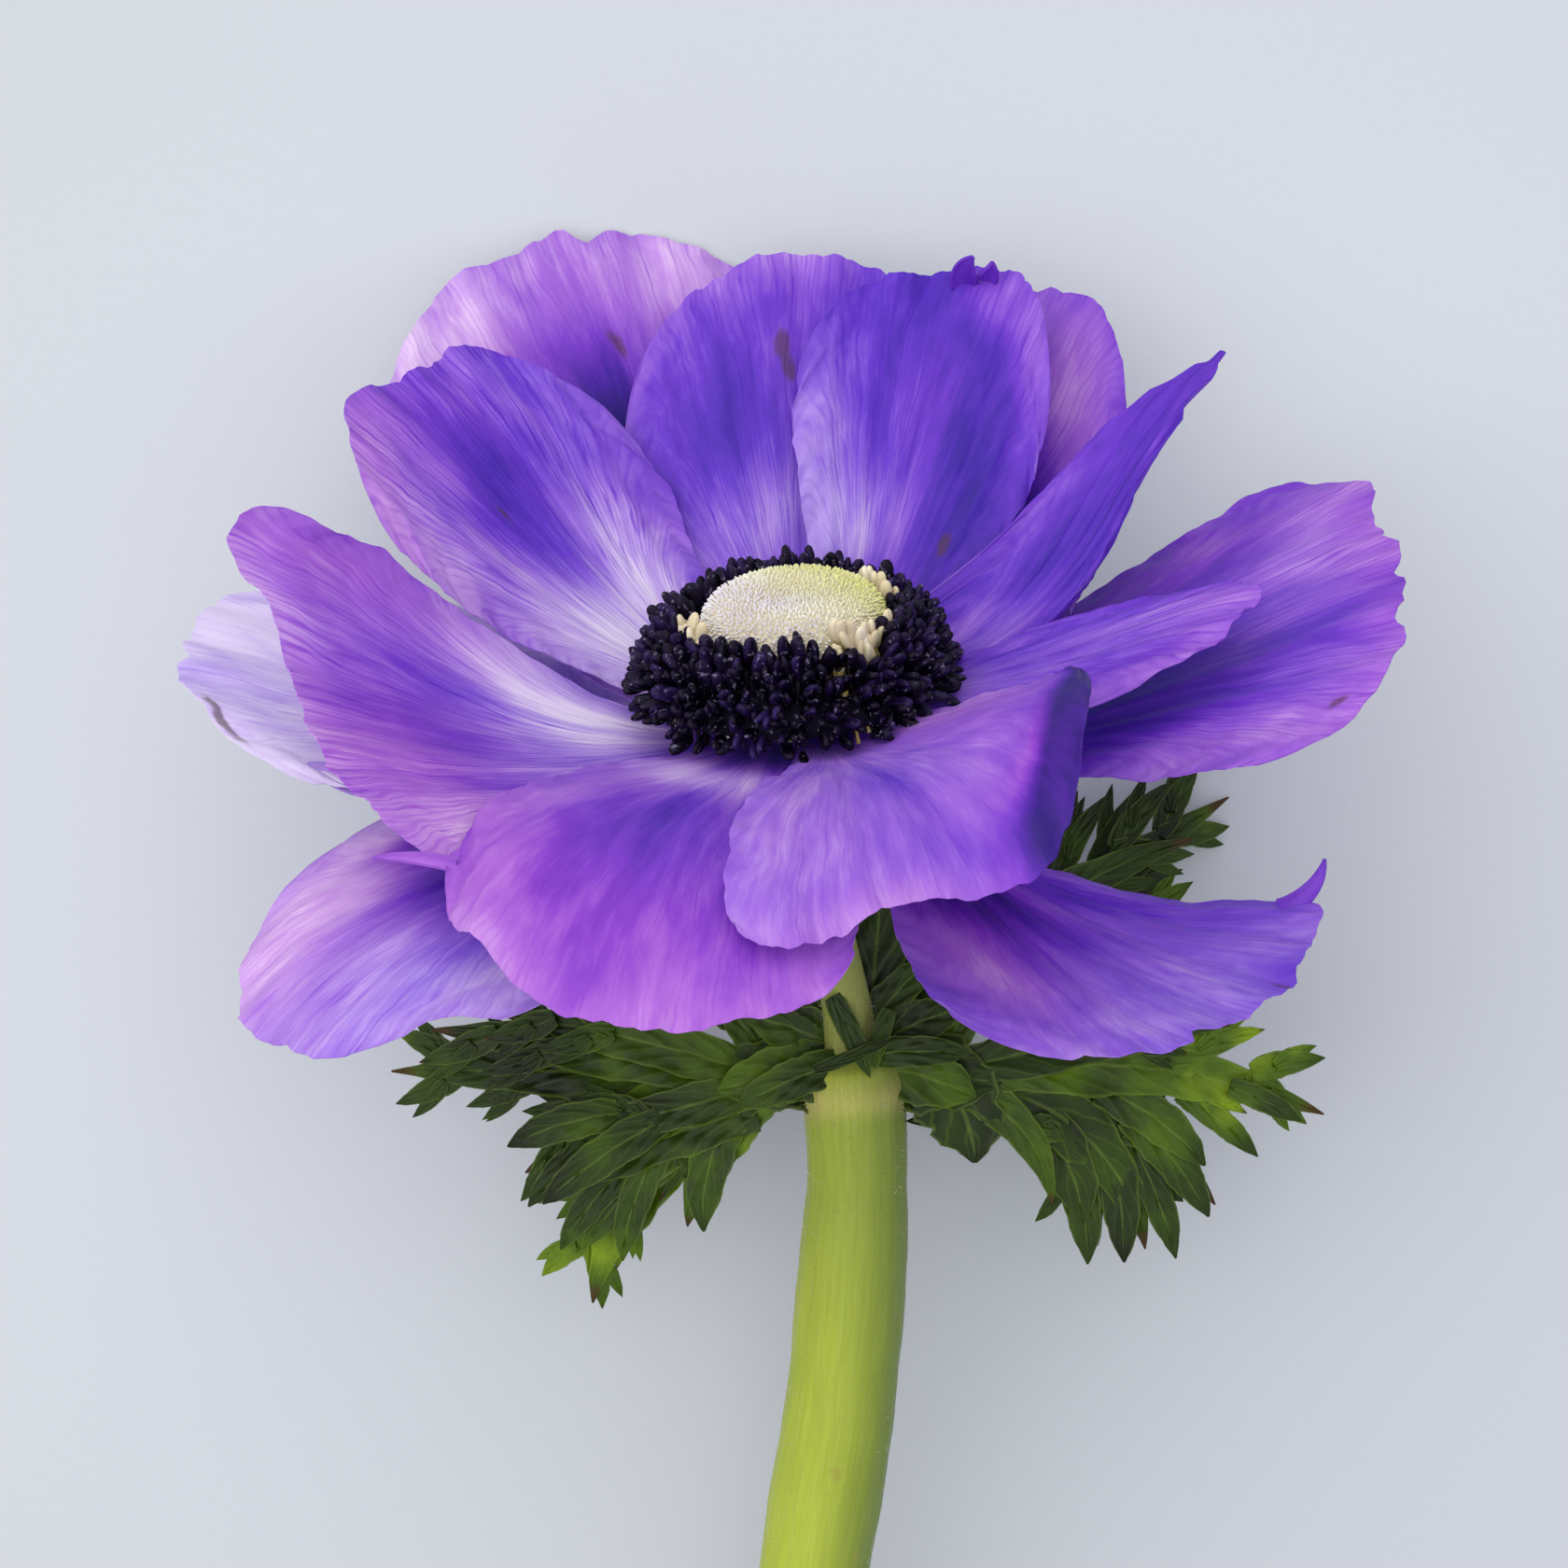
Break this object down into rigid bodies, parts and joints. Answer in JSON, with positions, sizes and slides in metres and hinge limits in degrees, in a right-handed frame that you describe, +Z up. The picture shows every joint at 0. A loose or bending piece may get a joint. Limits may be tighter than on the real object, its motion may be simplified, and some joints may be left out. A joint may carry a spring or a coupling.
{
  "type": "cut flower",
  "caption": "Cut anemone lying on its side: open violet tepals in two layers round a dark stamen ring and cream dome, a collar of cut leaves and a thick bare stem.",
  "frame": {"origin": "centre of the bounding footprint, on the surface the flower lies on", "axes": "+Z up from the surface, +Y along the stem from its cut end towards the bloom, +X to the right as seen from above"},
  "size_m": [0.0942, 0.2114, 0.0736],
  "materials": {
    "tepal_violet": "matte",
    "stamen_dark": "matte",
    "carpel_cream": "matte",
    "stem_green": "satin",
    "leaf_green": "matte"
  },
  "bodies": {
    "root": {"tepal_inner_back": "tepal_violet", "tepal_inner_back_right": "tepal_violet", "tepal_inner_back_left": "tepal_violet", "tepal_inner_left": "tepal_violet", "tepal_inner_front_left": "tepal_violet", "tepal_inner_front_right": "tepal_violet", "tepal_inner_right": "tepal_violet", "tepal_inner_right_blade": "tepal_violet", "tepal_outer_back_left": "tepal_violet", "tepal_outer_back_right": "tepal_violet", "tepal_outer_right": "tepal_violet", "tepal_outer_front_right": "tepal_violet", "tepal_outer_front_left": "tepal_violet", "tepal_outer_left": "tepal_violet", "stamens": "stamen_dark", "carpels": "carpel_cream", "stem": "stem_green", "leaf_left": "leaf_green", "leaf_right": "leaf_green", "leaf_back": "leaf_green"}
  },
  "joints": []
}
